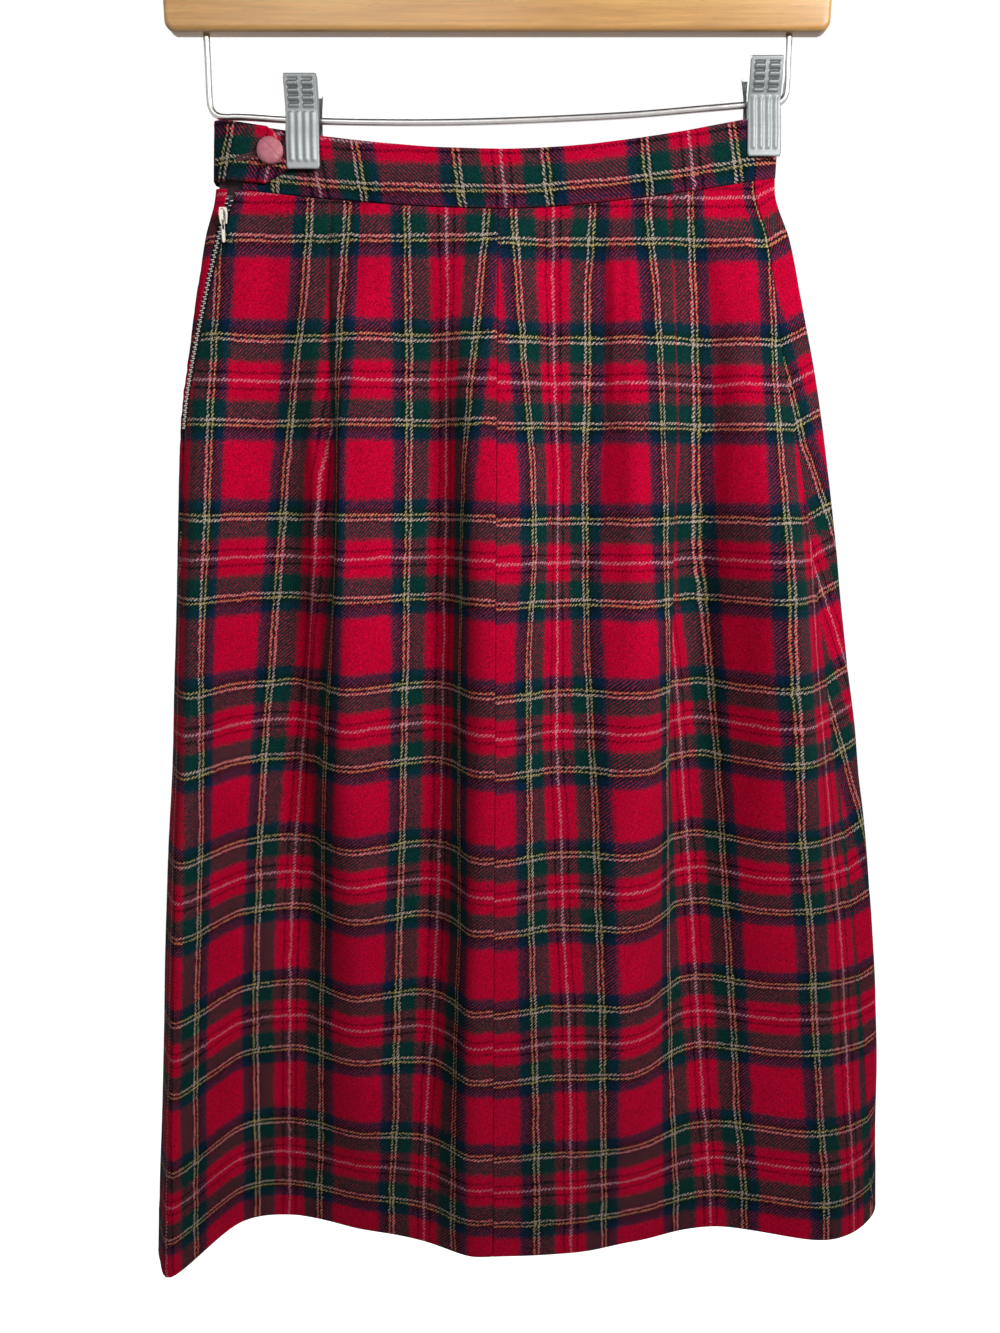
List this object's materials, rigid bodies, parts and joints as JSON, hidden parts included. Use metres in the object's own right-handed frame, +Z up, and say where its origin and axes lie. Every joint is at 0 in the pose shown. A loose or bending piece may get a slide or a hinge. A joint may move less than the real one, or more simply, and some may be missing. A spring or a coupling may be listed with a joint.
{
  "type": "a-line skirt on a clip hanger",
  "caption": "Knee-length checked wool a-line skirt with darts, side zip and buttoned tab waistband, hung from a wooden hanger by steel clips.",
  "frame": {"origin": "the point inside the top of the hanger's hook that rests on a rail or nail", "axes": "+Z up, +X to the viewer's right, -Y towards the viewer who faces the front of the skirt"},
  "size_m": [0.507, 0.116, 0.8848],
  "materials": {
    "wool": "brushed wool flannel, woven red tartan check",
    "wool_band": "brushed wool flannel, folded and stiffened",
    "satin": "satin-covered, soft sheen",
    "zip_tape": "woven cotton tape",
    "zip_metal": "nickel-coloured metal",
    "wood": "varnished light wood",
    "steel_wire": "bright plated wire",
    "clip_steel": "zinc-plated pressed steel"
  },
  "bodies": {
    "skirt": {"front_left": "wool", "front_right": "wool", "back": "wool", "waistband_front": "wool_band", "waistband_back": "wool_band", "button": "satin", "zip_tape": "zip_tape", "zip_chain": "zip_metal", "zip_slider": "zip_metal", "hanger_bar": "wood", "hook": "steel_wire", "rail": "steel_wire", "clip_left_front": "clip_steel", "clip_left_back": "clip_steel", "clip_left_spring": "clip_steel", "clip_right_front": "clip_steel", "clip_right_back": "clip_steel", "clip_right_spring": "clip_steel"},
    "pull": {"zip_pull": "zip_metal"}
  },
  "joints": [
    {"name": "pull_swing", "type": "hinge", "parent": "skirt", "child": "pull", "pos_m": [-0.16035, -0.00853, -0.2145], "axis": [-1, 0, 0], "range_deg": [0, 160]}
  ]
}
